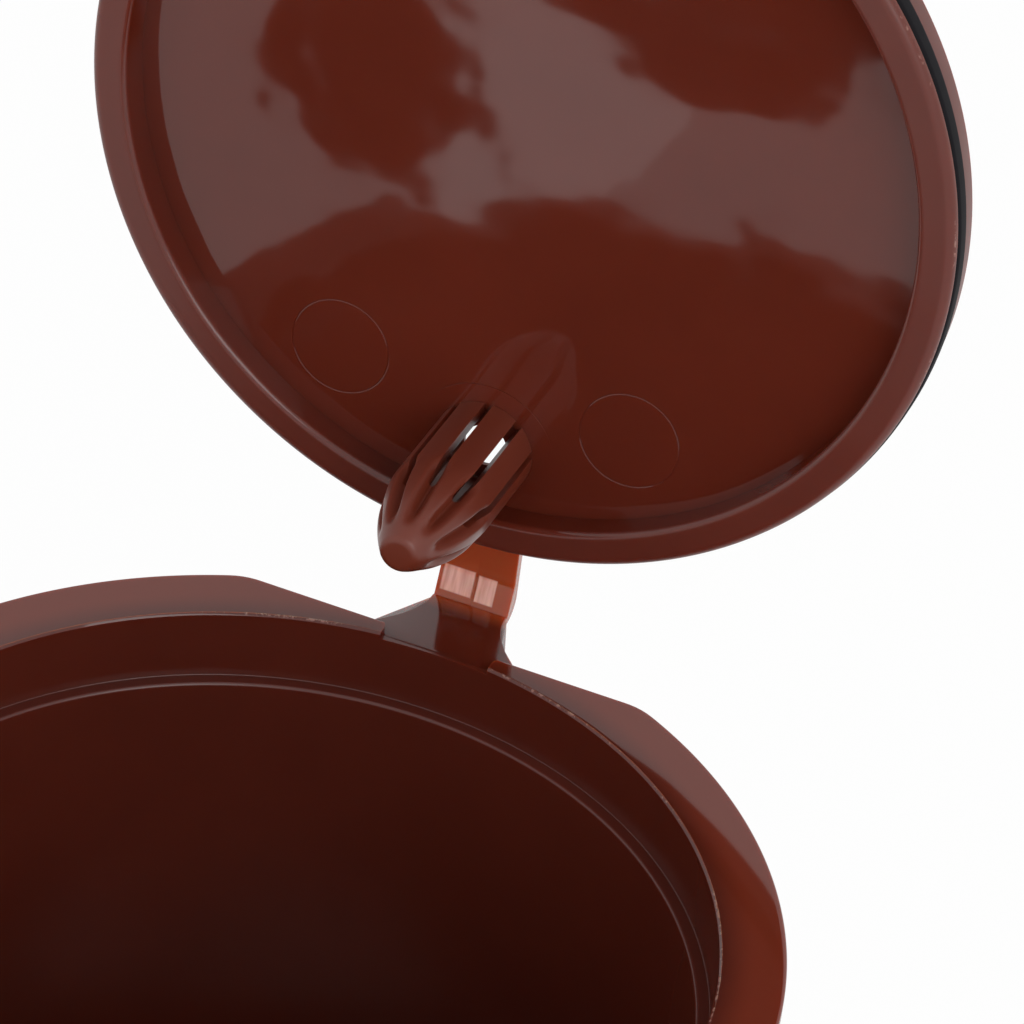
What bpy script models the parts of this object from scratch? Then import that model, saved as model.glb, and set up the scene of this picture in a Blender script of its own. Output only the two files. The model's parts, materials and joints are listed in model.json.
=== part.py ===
# A refillable drinks capsule with a flip lid: a moulded cup, a lid on a living hinge, the lid's
# seal, an inlet nozzle in the lid, and a steel filter that a ring holds on the cup's floor.
# Metres, +Z up. The origin is on the cup's axis, in the plane that it stands on.
# The hinge is on +Y, and the lid stands open as it is at rest.

import math

import bmesh
import bpy

# Cup and flange
CUP_HEIGHT = 0.0360
MOUTH_RADIUS = 0.0236
MOUTH_CHAMFER = 0.00015
RECESS_DEPTH = 0.0042
RECESS_WALL = 0.00075
LEDGE_WIDTH = 0.00075
LEDGE_THICKNESS = 0.0010
CUP_WALL = 0.0010
BODY_DRAFT = 0.00165
FLANGE_LIP = 0.00265
FLANGE_THICKNESS = 0.0012
FLANGE_EDGE = 0.0002
FLAT_MARGIN = 0.0001
FLAT_CORNER_RADIUS = 0.0035

# Base
FLOOR_THICKNESS = 0.0012
FLOOR_FILLET = 0.0015
BASE_CORNER_RADIUS = 0.0020
FOOT_HEIGHT = 0.0010
FOOT_INSET = 0.0027
FOOT_WIDTH = 0.0018
FOOT_EDGE = 0.0002
HUB_RADIUS = 0.0026
HUB_MARGIN = 0.0008
SPOKE_WIDTH = 0.0016
SPOKE_COUNT = 6

# Filter on the floor
FILTER_RADIUS = 0.0115
FILTER_THICKNESS = 0.0003
FILTER_SEAT_WIDTH = 0.0025
FILTER_RING_HEIGHT = 0.0010
FILTER_RING_MARGIN = 0.0006
FILTER_RING_EDGE = 0.0002
COLLAR_WALL = 0.0009
FIT_GAP = 0.0003

# Lid, with its rim turned to the cup
LID_CLEARANCE = 0.00025
SEAT_GAP = 0.0003
RIM_LIP = 0.00045
RIM_WALL = 0.0007
RIM_EDGE = 0.0003
GROOVE_WIDTH = 0.00155
GROOVE_DEPTH = 0.00115
PLATE_EDGE_THICKNESS = 0.0012
DISC_THICKNESS = 0.0013
DISC_FILLET = 0.0003
SEAL_GAP = 0.00015
SEAL_PROUD = 0.00015

# Living hinge
HINGE_WIDTH = 0.0043
TAB_LENGTH = 0.0047
TAB_FLARE = 0.0023
TAB_FLARE_LENGTH = 0.00405
TAB_ROOT = 0.0004
TAB_STEP = 0.00005
TAB_LIFT = 0.0001
STRAP_RECESS_DEPTH = 0.0004
STRAP_RECESS_MARGIN = 0.00105
LEAF_THICKNESS = 0.00055
LEAF_CLEARANCE = 0.0001
LUG_LENGTH = 0.0024
LUG_SLOPE = 0.0010
LUG_ROOT = 0.0005
LUG_EDGE = 0.0003
CREASE_GAP = 0.00015
OPENING_ANGLE = 92.9

# Inlet nozzle
NOZZLE_RADIUS = 0.00275
NOZZLE_LENGTH = 0.0114
NOZZLE_EDGE_GAP = 0.00047
NOZZLE_TIP_RADIUS = 0.00125
NOZZLE_TIP_LENGTH = 0.0048
NOZZLE_NOSE_LENGTH = 0.0030
NOZZLE_WALL = 0.00075
NOZZLE_WEB = 0.0003
NOZZLE_INLET_RADIUS = 0.0012
NOZZLE_COLLAR = 0.0004
SPIGOT_WALL = 0.0008
SLOT_WIDTH = 0.00055
SLOT_COUNT = 9
FLUTE_DEPTH = 0.0004

# Fineness of round faces
ROUND_STEPS = 64
SMALL_STEPS = 32
ARC_STEPS = 4
SEAL_STEPS = 10
MERGE = 0.000001
OVERSHOOT = 0.0010

# Colours as linear red, green, blue
BROWN_PLASTIC = (0.102, 0.0144, 0.0080)
BLACK_RUBBER = (0.0152, 0.0130, 0.0176)
STEEL = (0.55, 0.54, 0.52)

# Places that follow from the sizes above
recess_radius = MOUTH_RADIUS + RECESS_WALL
flange_radius = recess_radius + FLANGE_LIP
flat_y = recess_radius + FLAT_MARGIN
flange_under = CUP_HEIGHT - FLANGE_THICKNESS
ledge_z = CUP_HEIGHT - RECESS_DEPTH
ledge_radius = MOUTH_RADIUS - LEDGE_WIDTH
floor_radius = ledge_radius - BODY_DRAFT
floor_z = FOOT_HEIGHT + FLOOR_THICKNESS
foot_radius = floor_radius + CUP_WALL - FOOT_INSET
outlet_radius = FILTER_RADIUS - FILTER_SEAT_WIDTH
filter_z = floor_z + FIT_GAP
filter_ring_z = filter_z + FILTER_THICKNESS + FIT_GAP
collar_top = filter_ring_z + FILTER_RING_HEIGHT
collar_radius = FILTER_RADIUS + FIT_GAP

lid_radius = MOUTH_RADIUS - LID_CLEARANCE
lid_thickness = RIM_LIP + GROOVE_WIDTH + PLATE_EDGE_THICKNESS
groove_radius = lid_radius - GROOVE_DEPTH
rim_radius = groove_radius - RIM_WALL
disc_z = lid_thickness - DISC_THICKNESS
nozzle_y = rim_radius - NOZZLE_EDGE_GAP - NOZZLE_RADIUS
spigot_radius = NOZZLE_INLET_RADIUS + SPIGOT_WALL

hinge_y = flat_y + TAB_LENGTH
hinge_z = CUP_HEIGHT - STRAP_RECESS_DEPTH + LEAF_CLEARANCE
hinge_over_rim = hinge_z - ledge_z - SEAT_GAP
strap_half = HINGE_WIDTH / 2


def arc(centre, radius, start, end, steps):
    # Points on an arc, with its angles in degrees.
    points = []
    for step in range(steps + 1):
        angle = math.radians(start + (end - start) * step / steps)
        points.append((centre[0] + radius * math.cos(angle), centre[1] + radius * math.sin(angle)))
    return points


def to_object(name, bm):
    bmesh.ops.remove_doubles(bm, verts=bm.verts, dist=MERGE)
    bmesh.ops.recalc_face_normals(bm, faces=bm.faces)
    mesh = bpy.data.meshes.new(name)
    bm.to_mesh(mesh)
    bm.free()
    mesh.shade_smooth()
    mesh.set_sharp_from_angle(angle=math.radians(30))
    piece = bpy.data.objects.new(name, mesh)
    bpy.context.collection.objects.link(piece)
    return piece


def turned(name, profile, steps, closed=False):
    # Spins a profile of radius and height about Z. An open profile starts and ends on the axis.
    bm = bmesh.new()
    verts = [bm.verts.new((radius, 0, height)) for radius, height in profile]
    ends = verts[1:] + verts[:1] if closed else verts[1:]
    edges = [bm.edges.new(pair) for pair in zip(verts, ends)]
    bmesh.ops.spin(bm, geom=verts + edges, axis=(0, 0, 1), angle=math.tau, steps=steps, use_merge=True)
    return to_object(name, bm)


def lofted(name, stacks):
    # Joins the loops of each stack in turn and caps both ends. All loops of a stack match.
    bm = bmesh.new()
    for loops in stacks:
        rings = [[bm.verts.new(point) for point in loop] for loop in loops]
        for low, high in zip(rings, rings[1:]):
            for side in range(len(low)):
                bm.faces.new((low[side - 1], low[side], high[side], high[side - 1]))
        bm.faces.new(rings[0])
        bm.faces.new(rings[-1])
    return to_object(name, bm)


def prism(name, outline, low, high):
    return lofted(name, [[[(x, y, z) for x, y in outline] for z in (low, high)]])


def crosswise(name, outline, half_width):
    # A prism across X, from an outline of Y and Z.
    return lofted(name, [[[(x, y, z) for y, z in outline] for x in (-half_width, half_width)]])


def combine(piece, tool, operation):
    tool.hide_render = True
    tool.display_type = 'WIRE'
    change = piece.modifiers.new(tool.name, 'BOOLEAN')
    change.operation = operation
    change.solver = 'EXACT'
    change.object = tool


def finish(name, colour, roughness, metallic):
    material = bpy.data.materials.new(name)
    material.use_nodes = True
    surface = material.node_tree.nodes['Principled BSDF']
    surface.inputs['Base Color'].default_value = (*colour, 1)
    surface.inputs['Roughness'].default_value = roughness
    surface.inputs['Metallic'].default_value = metallic
    return material


def hang_on(pivot, piece, y=0.0):
    # Lid pieces are drawn about the lid's own axis, from its rim plane up, and turn with the pivot.
    piece.parent = pivot
    piece.location = (0, y - hinge_y, -hinge_over_rim)


def flange_outline(inset):
    # A circle with a flat on the hinge side, and round corners where they meet.
    radius = flange_radius - inset
    flat = flat_y - inset
    corner = FLAT_CORNER_RADIUS - inset
    corner_y = flat - corner
    corner_x = math.sqrt((radius - corner) ** 2 - corner_y ** 2)
    turn = math.degrees(math.atan2(corner_y, corner_x))
    right = arc((corner_x, corner_y), corner, 90, turn, ARC_STEPS)
    sweep = arc((0, 0), radius, turn, -180 - turn, ROUND_STEPS)[1:-1]
    left = [(-x, y) for x, y in reversed(right)]
    return right + sweep + left


def make_flange():
    levels = [
        (FLANGE_EDGE, flange_under),
        (0.0, flange_under + FLANGE_EDGE),
        (0.0, CUP_HEIGHT - FLANGE_EDGE),
        (FLANGE_EDGE, CUP_HEIGHT),
    ]
    loops = [[(x, y, z) for x, y in flange_outline(inset)] for inset, z in levels]
    return lofted('flange_plate', [loops])


def make_tab():
    # The cup's half of the strap, which narrows from the flat of the flange to the crease.
    root_y = flat_y - TAB_ROOT
    side = [(strap_half, hinge_y - CREASE_GAP)]
    for step in range(2 * ARC_STEPS + 1):
        share = step / (2 * ARC_STEPS)
        side.append((strap_half + TAB_FLARE * share ** 2, flat_y + TAB_FLARE_LENGTH * (1 - share)))
    side.append((strap_half + TAB_FLARE, root_y))
    outline = side + [(-x, y) for x, y in reversed(side)]
    top = CUP_HEIGHT - STRAP_RECESS_DEPTH - TAB_STEP
    return prism('hinge_tab', outline, flange_under + TAB_LIFT, top)


def make_outlet_cutter():
    # One hole between each two spokes.
    half = SPOKE_WIDTH / 2
    inner = HUB_RADIUS + HUB_MARGIN
    stacks = []
    for spoke in range(SPOKE_COUNT):
        first = 360 * spoke / SPOKE_COUNT
        last = 360 * (spoke + 1) / SPOKE_COUNT
        near = math.degrees(math.asin(half / inner))
        far = math.degrees(math.asin(half / outlet_radius))
        outline = arc((0, 0), outlet_radius, first + far, last - far, 2 * ARC_STEPS)
        outline += arc((0, 0), inner, last - near, first + near, ARC_STEPS)
        stacks.append([[(x, y, z) for x, y in outline] for z in (-OVERSHOOT, floor_z + OVERSHOOT)])
    return lofted('outlet_cutter', stacks)


def make_cup(plastic):
    base_radius = floor_radius + CUP_WALL
    corner = (base_radius - BASE_CORNER_RADIUS, FOOT_HEIGHT + BASE_CORNER_RADIUS)
    step_z = ledge_z - LEDGE_THICKNESS
    outside = [
        (0, CUP_HEIGHT - FLANGE_THICKNESS / 2),
        (recess_radius, CUP_HEIGHT - FLANGE_THICKNESS / 2),
        (recess_radius, step_z),
        (ledge_radius + CUP_WALL, step_z - LEDGE_WIDTH),
    ]
    outside += arc(corner, BASE_CORNER_RADIUS, 0, -90, ARC_STEPS)
    outside += [
        (foot_radius, FOOT_HEIGHT),
        (foot_radius, FOOT_EDGE),
        (foot_radius - FOOT_EDGE, 0),
        (foot_radius - FOOT_WIDTH + FOOT_EDGE, 0),
        (foot_radius - FOOT_WIDTH, FOOT_EDGE),
        (foot_radius - FOOT_WIDTH, FOOT_HEIGHT),
        (HUB_RADIUS, FOOT_HEIGHT),
        (HUB_RADIUS, 0),
        (0, 0),
    ]
    cup = turned('capsule_cup', outside, ROUND_STEPS)
    cup.data.materials.append(plastic)
    combine(cup, make_flange(), 'UNION')

    # The hollow: mouth, ledge for the lid, tapered wall, floor, and the collar round the filter.
    fillet = (floor_radius - FLOOR_FILLET, floor_z + FLOOR_FILLET)
    hollow = [
        (0, CUP_HEIGHT + OVERSHOOT),
        (MOUTH_RADIUS + MOUTH_CHAMFER + OVERSHOOT, CUP_HEIGHT + OVERSHOOT),
        (MOUTH_RADIUS, CUP_HEIGHT - MOUTH_CHAMFER),
        (MOUTH_RADIUS, ledge_z),
        (ledge_radius, ledge_z),
    ]
    hollow += arc(fillet, FLOOR_FILLET, 0, -90, ARC_STEPS)
    hollow += [
        (collar_radius + COLLAR_WALL, floor_z),
        (collar_radius + COLLAR_WALL, collar_top),
        (collar_radius, collar_top),
        (collar_radius, floor_z),
        (0, floor_z),
    ]
    combine(cup, turned('hollow_cutter', hollow, ROUND_STEPS), 'DIFFERENCE')

    # The strap lies in a shallow recess of the flange when the lid is shut.
    recess_half = strap_half + STRAP_RECESS_MARGIN
    recess_end = flat_y + OVERSHOOT
    recess = [(-recess_half, 0), (recess_half, 0), (recess_half, recess_end), (-recess_half, recess_end)]
    recess_z = CUP_HEIGHT - STRAP_RECESS_DEPTH
    recess_cutter = prism('strap_recess_cutter', recess, recess_z, CUP_HEIGHT + OVERSHOOT)
    combine(cup, recess_cutter, 'DIFFERENCE')
    combine(cup, make_tab(), 'UNION')
    combine(cup, make_outlet_cutter(), 'DIFFERENCE')
    return cup


def make_filter(steel, plastic):
    disc = [
        (0, filter_z + FILTER_THICKNESS),
        (FILTER_RADIUS, filter_z + FILTER_THICKNESS),
        (FILTER_RADIUS, filter_z),
        (0, filter_z),
    ]
    mesh_disc = turned('filter_mesh', disc, ROUND_STEPS)
    mesh_disc.data.materials.append(steel)

    opening = outlet_radius + FILTER_RING_MARGIN
    section = [
        (opening, filter_ring_z),
        (opening, collar_top - FILTER_RING_EDGE),
        (opening + FILTER_RING_EDGE, collar_top),
        (FILTER_RADIUS - FILTER_RING_EDGE, collar_top),
        (FILTER_RADIUS, collar_top - FILTER_RING_EDGE),
        (FILTER_RADIUS, filter_ring_z),
    ]
    ring = turned('filter_ring', section, ROUND_STEPS, closed=True)
    ring.data.materials.append(plastic)


def make_leaf():
    # The lid's half of the strap, on a sloped lug that stands on the lid's outer face.
    under = hinge_over_rim
    over = under + LEAF_THICKNESS
    root = min(lid_thickness, under) - LUG_ROOT
    lug_end = lid_radius - LUG_EDGE
    lug_start = lug_end - LUG_LENGTH
    outline = [
        (lug_start, root),
        (lug_end, root),
        (lug_end, under),
        (hinge_y - CREASE_GAP, under),
        (hinge_y - CREASE_GAP, over),
        (lug_start + LUG_SLOPE, over),
        (lug_start, lid_thickness),
    ]
    return crosswise('hinge_leaf', outline, strap_half)


def make_lid(pivot, plastic):
    fillet = (rim_radius - DISC_FILLET, disc_z - DISC_FILLET)
    section = [
        (0, lid_thickness),
        (lid_radius - RIM_EDGE, lid_thickness),
        (lid_radius, lid_thickness - RIM_EDGE),
        (lid_radius, RIM_LIP + GROOVE_WIDTH),
        (groove_radius, RIM_LIP + GROOVE_WIDTH),
        (groove_radius, RIM_LIP),
        (lid_radius, RIM_LIP),
        (lid_radius - RIM_EDGE, 0),
        (rim_radius, 0),
    ]
    section += arc(fillet, DISC_FILLET, 0, 90, ARC_STEPS)
    section.append((0, disc_z))
    lid = turned('hinged_lid', section, ROUND_STEPS)
    lid.data.materials.append(plastic)
    hang_on(pivot, lid)

    leaf = make_leaf()
    hang_on(pivot, leaf)
    combine(lid, leaf, 'UNION')

    hole = [
        (0, lid_thickness + OVERSHOOT),
        (spigot_radius + FIT_GAP, lid_thickness + OVERSHOOT),
        (spigot_radius + FIT_GAP, disc_z - OVERSHOOT),
        (0, disc_z - OVERSHOOT),
    ]
    hole_cutter = turned('nozzle_hole_cutter', hole, SMALL_STEPS)
    hang_on(pivot, hole_cutter, nozzle_y)
    combine(lid, hole_cutter, 'DIFFERENCE')


def make_seal(pivot, rubber):
    # An oval section that fills the groove and stands a little proud of the rim.
    outer = lid_radius + SEAL_PROUD
    inner = groove_radius + SEAL_GAP
    across = (outer - inner) / 2
    along = GROOVE_WIDTH / 2 - SEAL_GAP
    middle_z = RIM_LIP + GROOVE_WIDTH / 2
    section = []
    for step in range(SEAL_STEPS):
        angle = math.tau * step / SEAL_STEPS
        section.append((inner + across + across * math.cos(angle), middle_z + along * math.sin(angle)))
    seal = turned('lid_seal_ring', section, ROUND_STEPS, closed=True)
    seal.data.materials.append(rubber)
    hang_on(pivot, seal)


def tip_radius_at(share):
    # The nozzle's radius from its shoulder, at share 0, to its blunt tip, at share 1.
    return NOZZLE_TIP_RADIUS + (NOZZLE_RADIUS - NOZZLE_TIP_RADIUS) * math.cos(share * math.pi / 2)


def make_nozzle(pivot, plastic):
    top = lid_thickness - FIT_GAP
    base = disc_z - FIT_GAP
    tip = disc_z - NOZZLE_LENGTH
    shoulder = tip + NOZZLE_TIP_LENGTH
    bore_end = tip + NOZZLE_NOSE_LENGTH
    bore_radius = NOZZLE_RADIUS - NOZZLE_WALL
    section = [
        (0, bore_end),
        (bore_radius, bore_end),
        (bore_radius, base - NOZZLE_WEB),
        (NOZZLE_INLET_RADIUS, base - NOZZLE_WEB),
        (NOZZLE_INLET_RADIUS, top),
        (spigot_radius, top),
        (spigot_radius, base),
        (NOZZLE_RADIUS, base),
    ]
    for step in range(2 * ARC_STEPS + 1):
        share = step / (2 * ARC_STEPS)
        section.append((tip_radius_at(share), shoulder + (tip - shoulder) * share))
    section.append((0, tip))
    nozzle = turned('inlet_nozzle', section, SMALL_STEPS)
    nozzle.data.materials.append(plastic)
    hang_on(pivot, nozzle, nozzle_y)

    # Slots open the barrel to the bore, and flutes carry them on over the tip. The first one
    # faces away from the hinge.
    reach = NOZZLE_RADIUS + OVERSHOOT
    slot_start = base - NOZZLE_COLLAR
    slot_end = bore_end + NOZZLE_COLLAR
    slot_share = max(0.0, (shoulder - slot_end) / NOZZLE_TIP_LENGTH)
    outline = [(0, slot_start), (reach, slot_start), (reach, tip - OVERSHOOT)]
    outline.append((NOZZLE_TIP_RADIUS - FLUTE_DEPTH, tip - OVERSHOOT))
    for step in range(2 * ARC_STEPS + 1):
        share = 1 + (slot_share - 1) * step / (2 * ARC_STEPS)
        outline.append((tip_radius_at(share) - FLUTE_DEPTH, shoulder + (tip - shoulder) * share))
    outline += [(tip_radius_at(slot_share) - FLUTE_DEPTH, slot_end), (0, slot_end)]
    half = SLOT_WIDTH / 2
    for number in range(SLOT_COUNT):
        loops = [[(across, -along, height) for along, height in outline] for across in (-half, half)]
        slot = lofted('nozzle_slot_cutter_%d' % number, [loops])
        hang_on(pivot, slot, nozzle_y)
        slot.rotation_euler.z = math.tau * number / SLOT_COUNT
        combine(nozzle, slot, 'DIFFERENCE')


def make_capsule():
    for piece in list(bpy.data.objects):
        bpy.data.objects.remove(piece)
    plastic = finish('brown_plastic', BROWN_PLASTIC, 0.35, 0.0)
    rubber = finish('black_rubber', BLACK_RUBBER, 0.6, 0.0)
    steel = finish('steel_mesh', STEEL, 0.35, 1.0)

    make_cup(plastic)
    make_filter(steel, plastic)

    pivot = bpy.data.objects.new('lid_pivot', None)
    bpy.context.collection.objects.link(pivot)
    pivot.location = (0, hinge_y, hinge_z)
    pivot.rotation_euler.x = math.radians(-OPENING_ANGLE)
    make_lid(pivot, plastic)
    make_seal(pivot, rubber)
    make_nozzle(pivot, plastic)


make_capsule()
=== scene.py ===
import json
import math
import bpy
from mathutils import Matrix, Quaternion, Vector


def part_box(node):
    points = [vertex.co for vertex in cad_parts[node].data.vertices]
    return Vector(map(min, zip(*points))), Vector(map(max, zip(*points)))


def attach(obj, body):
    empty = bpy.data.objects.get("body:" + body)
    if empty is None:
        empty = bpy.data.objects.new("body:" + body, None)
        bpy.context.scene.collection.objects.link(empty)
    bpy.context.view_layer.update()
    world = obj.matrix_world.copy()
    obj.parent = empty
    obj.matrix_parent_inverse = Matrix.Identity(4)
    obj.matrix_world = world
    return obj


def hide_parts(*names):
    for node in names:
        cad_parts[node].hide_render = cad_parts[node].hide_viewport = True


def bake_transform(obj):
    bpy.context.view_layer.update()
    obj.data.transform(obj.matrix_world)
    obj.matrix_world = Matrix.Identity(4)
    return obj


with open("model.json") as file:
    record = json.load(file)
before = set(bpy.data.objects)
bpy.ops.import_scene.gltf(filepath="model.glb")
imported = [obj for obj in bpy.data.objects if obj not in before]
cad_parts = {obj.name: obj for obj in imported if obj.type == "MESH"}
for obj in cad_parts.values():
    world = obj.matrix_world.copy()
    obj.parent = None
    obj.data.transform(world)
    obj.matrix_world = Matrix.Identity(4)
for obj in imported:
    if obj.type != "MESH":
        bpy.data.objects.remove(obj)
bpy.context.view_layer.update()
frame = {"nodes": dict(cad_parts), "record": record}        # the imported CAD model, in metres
print("frame loaded:", ", ".join(sorted(frame["nodes"])))

mm = 0.001              # all sizes below are in millimetres, unless a note says otherwise
weld = 0.002            # points nearer to each other than this become one
cornerSteps = 6         # facets round each rounded corner of a section
hingeJoint = frame["record"]["behaviour"]["joints"][0]
hingePoint = Vector(hingeJoint["pos_m"])
openAngle = math.radians(hingeJoint["range_deg"][1])    # from shut to the rest pose
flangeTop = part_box("capsule_cup")[1].z / mm             # the cup's height


# small helpers for modelling

def hexColour(code):
    parts = [int(code[i:i + 2], 16) / 255 for i in (0, 2, 4)]
    return [c / 12.92 if c <= 0.04045 else ((c + 0.055) / 1.055) ** 2.4 for c in parts] + [1.0]


def startFresh():
    if bpy.context.object and bpy.context.object.mode != "OBJECT":
        bpy.ops.object.mode_set(mode="OBJECT")
    bpy.ops.object.select_all(action="DESELECT")


def onlySelect(piece):
    startFresh()
    piece.select_set(True)
    bpy.context.view_layer.objects.active = piece


def roundCorners(corners):
    # corners are (u, v, rounding); a rounded corner becomes a short arc
    points = []
    for i, (u, v, rounding) in enumerate(corners):
        corner = Vector((u, v))
        if not rounding:
            points.append(corner)
            continue
        back = (Vector(corners[i - 1][:2]) - corner).normalized()
        ahead = (Vector(corners[(i + 1) % len(corners)][:2]) - corner).normalized()
        half = back.angle(ahead) / 2
        reach = rounding / math.tan(half)
        centre = corner + (back + ahead).normalized() * rounding / math.sin(half)
        first, last = corner + back * reach - centre, corner + ahead * reach - centre
        for step in range(cornerSteps + 1):
            way = first.lerp(last, step / cornerSteps).normalized()
            points.append(centre + way * rounding)
    return points


def arcPoints(radius, start, sweep, steps, centreY=0):
    # points along an arc seen from above, angles in radians
    angles = [start + sweep * i / steps for i in range(steps + 1)]
    return [Vector((radius * math.cos(a), centreY + radius * math.sin(a))) for a in angles]


def drawLine(name, points):
    # one vertex, drawn along the points by extruding it; leaves edit mode on
    startFresh()
    bpy.ops.mesh.primitive_plane_add(size=mm)
    piece = bpy.context.object
    piece.name = piece.data.name = name
    bpy.ops.object.mode_set(mode="EDIT")
    bpy.ops.mesh.merge(type="CENTER")
    bpy.ops.transform.translate(value=points[0] * mm)
    for i in range(1, len(points)):
        bpy.ops.mesh.extrude_vertices_move(
            TRANSFORM_OT_translate={"value": (points[i] - points[i - 1]) * mm})
    return piece


def fillOutline():
    # joins the ends of the drawn line and fills it with one face
    bpy.ops.mesh.select_all(action="SELECT")
    bpy.ops.mesh.edge_face_add()


def applyModifier(piece, kind, **settings):
    onlySelect(piece)
    bpy.ops.object.modifier_add(type=kind)
    modifier = piece.modifiers[-1]
    for key, value in settings.items():
        setattr(modifier, key, value)
    bpy.ops.object.modifier_apply(modifier=modifier.name)


def cleanMesh(piece):
    onlySelect(piece)
    bpy.ops.object.mode_set(mode="EDIT")
    bpy.ops.mesh.select_all(action="SELECT")
    bpy.ops.mesh.remove_doubles(threshold=weld * mm)
    bpy.ops.mesh.normals_make_consistent(inside=False)
    bpy.ops.object.mode_set(mode="OBJECT")


def turnPiece(name, corners, steps, closed=False):
    # a half section, radius and height, turned about the upright axis
    piece = drawLine(name, [Vector((u, 0, v)) for u, v in roundCorners(corners)])
    if closed:
        fillOutline()
        bpy.ops.mesh.delete(type="ONLY_FACE")
    bpy.ops.object.mode_set(mode="OBJECT")
    applyModifier(piece, "SCREW", axis="Z", angle=math.tau, steps=steps, render_steps=steps,
                  use_merge_vertices=True, merge_threshold=weld * mm)
    cleanMesh(piece)
    return piece


def raiseOutline(name, outline, low, high):
    # a closed outline seen from above, filled and pulled up
    piece = drawLine(name, [Vector((u, v, low)) for u, v in outline])
    fillOutline()
    bpy.ops.mesh.extrude_region_move(
        TRANSFORM_OT_translate={"value": (0, 0, (high - low) * mm)})
    bpy.ops.object.mode_set(mode="OBJECT")
    cleanMesh(piece)
    return piece


def cutAway(piece, cutter):
    applyModifier(piece, "BOOLEAN", object=cutter, operation="DIFFERENCE", solver="EXACT")
    bpy.data.objects.remove(cutter)


def smoothMesh(piece, angle=32):
    onlySelect(piece)
    bpy.ops.object.shade_smooth_by_angle(angle=math.radians(angle))


def moveMesh(piece, place):
    onlySelect(piece)
    piece.matrix_world = place
    bpy.ops.object.transform_apply(location=True, rotation=True, scale=True)


def turnedCopy(piece, angle):
    onlySelect(piece)
    bpy.ops.object.duplicate()
    copy = bpy.context.object
    moveMesh(copy, Matrix.Rotation(angle, 4, "Z"))
    return copy


def triangleCount(piece):
    return sum(len(face.vertices) - 2 for face in piece.data.polygons)


# cup: flange, seat recess, ledge, tapered wall, and a floor with its outlet

cupSizes = {
    "steps": 480,
    "mouthRadius": 23.6, "mouthChamfer": 0.14, "mouthEdge": 0.05, "mouthBorder": 0.2,
    "recessDepth": 4.2, "recessOuter": 24.35, "recessFillet": 0.06,
    "ledgeRadius": 22.85, "ledgeEdge": 0.2,
    "wallThickness": 1.0, "outerFillet": 2.0,
    "shoulderRise": 0.5, "shoulderEdge": 0.4, "shoulderFillet": 0.3,    # under the recess
    "floorRadius": 21.2, "floorTop": 2.2, "floorFillet": 1.6,
    "flangeRadius": 27.0, "flangeThickness": 1.2, "flangeEdge": 0.15, "flangeBorder": 0.15,
    "flangeDish": 0.06,         # the flange's top falls this much towards the mouth
    "flatDistance": 24.45, "flatCorner": 3.5,
    "footHeight": 1.0, "footRadius": 19.5, "footWidth": 1.8, "footEdge": 0.3, "footCorner": 0.2,
    "hubRadius": 2.6, "hubEdge": 0.2, "outletRadius": 9.0, "outletSteps": 10,
    "spokes": 6, "spokeWidth": 1.6,
    "collarInner": 11.8, "collarWall": 0.9, "collarTop": 4.1,
    "collarEdge": 0.2, "collarInnerEdge": 0.15, "collarFillet": 0.1,
    "notchDepth": 0.4, "notchHalf": 3.1, "notchFlare": 0.5, "notchStart": 21.0,
    "cutterReach": 1.0,         # cutters stand this far out of what they cut
}


def flangeReach(angle):
    # distance from the axis to the flange's outline, which has one flat at the hinge
    s = cupSizes
    radius, flat, corner = s["flangeRadius"], s["flatDistance"], s["flatCorner"]
    centreY = flat - corner
    centreX = math.sqrt((radius - corner) ** 2 - centreY ** 2)
    way = Vector((abs(math.cos(angle)), math.sin(angle)))
    roundStart = math.atan2(centreY, centreX)
    flatStart = math.atan2(flat, centreX)
    upright = math.atan2(way.y, way.x)
    if upright >= flatStart:
        return flat / way.y
    if upright >= roundStart:
        middle = Vector((centreX, centreY))
        along = way.dot(middle)
        return along + math.sqrt(along ** 2 - middle.length_squared + corner ** 2)
    return radius


def shapeFlange(cup):
    # the flange's edge follows its flat, and its top falls a little towards the mouth
    s = cupSizes
    edge = s["flangeEdge"]
    flangeLow = flangeTop - s["flangeThickness"]
    for vertex in cup.data.vertices:
        radius = math.hypot(vertex.co.x, vertex.co.y) / mm
        height = vertex.co.z / mm
        onTop = height > flangeLow + s["flangeThickness"] / 2
        inner = s["mouthRadius"] + s["mouthChamfer"] if onTop else s["recessOuter"] + 0.02
        if height < flangeLow - 0.05 or radius < inner + 0.005:
            continue            # below the flange, or on its inner edge
        reach = flangeReach(math.atan2(vertex.co.y, vertex.co.x))
        room, fullRoom = reach - inner, s["flangeRadius"] - inner
        rounding = min(edge, 0.8 * room)        # less where the flat leaves little room
        depth = s["flangeRadius"] - radius
        if depth <= edge:
            depth *= rounding / edge
        else:
            depth = rounding + (depth - edge) / (fullRoom - edge) * (room - rounding)
        vertex.co.x *= (reach - depth) / radius
        vertex.co.y *= (reach - depth) / radius
        if onTop:
            fall = s["flangeDish"] * room / fullRoom
            vertex.co.z -= fall * mm * min(1, max(0, depth - rounding) / (room - rounding))


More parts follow.
